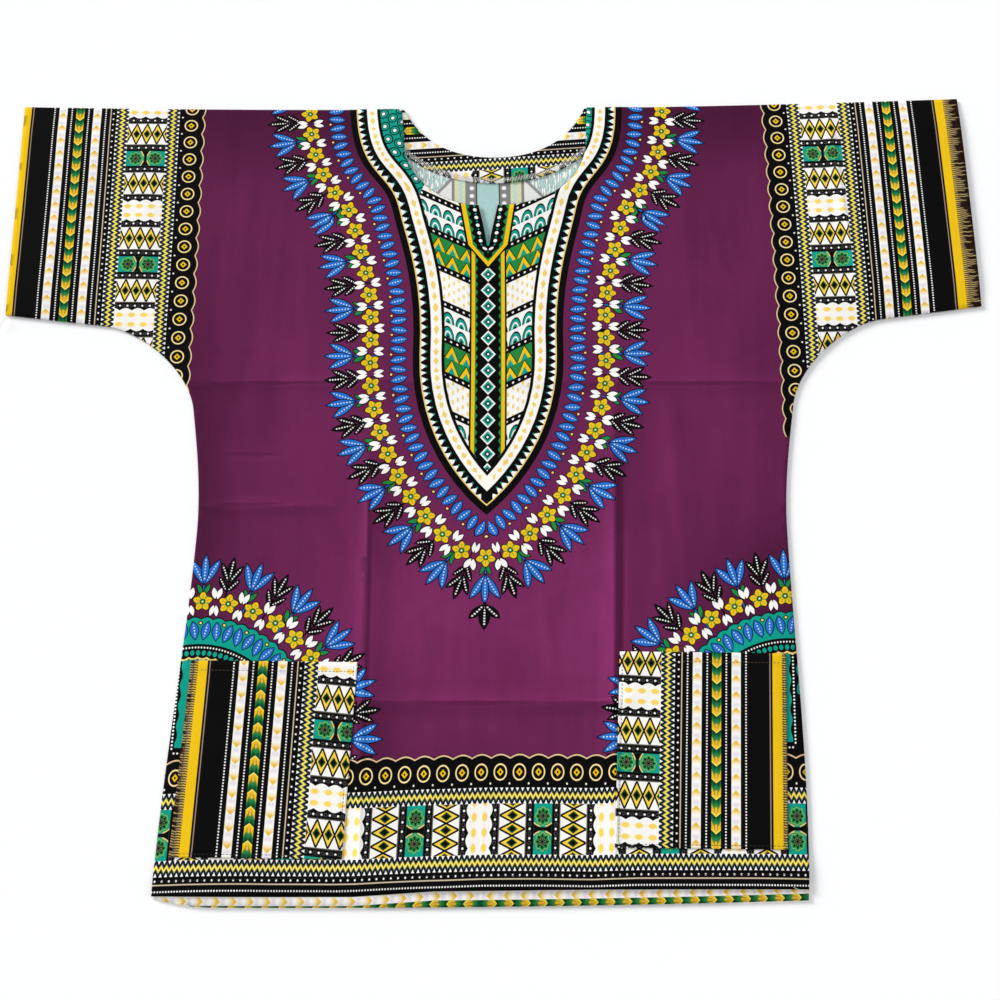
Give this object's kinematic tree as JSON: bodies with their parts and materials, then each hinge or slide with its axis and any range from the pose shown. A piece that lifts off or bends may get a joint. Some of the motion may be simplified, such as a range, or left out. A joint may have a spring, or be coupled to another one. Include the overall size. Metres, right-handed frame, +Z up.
{
  "type": "dashiki shirt",
  "caption": "Loose pullover shirt of printed cotton, laid flat: sleeves cut in one with the body, a round slit neck, patch pockets and bordered cuffs and hem.",
  "frame": {"origin": "on the table under the middle of the laid shirt's box", "axes": "+X to the right of someone who looks at the front from the hem, from cuff to cuff; +Y from the hem to the neck; +Z up from the table"},
  "size_m": [0.959, 0.7978, 0.0091],
  "materials": {
    "purple_print": "plain-woven cotton, printed all over, matt with a faint calendered sheen",
    "border_print": "the same cotton cut from the banded border of the print"
  },
  "bodies": {
    "root": {"back": "purple_print", "front": "purple_print", "neck_facing": "border_print", "pocket_left": "border_print", "pocket_right": "border_print"}
  },
  "joints": []
}
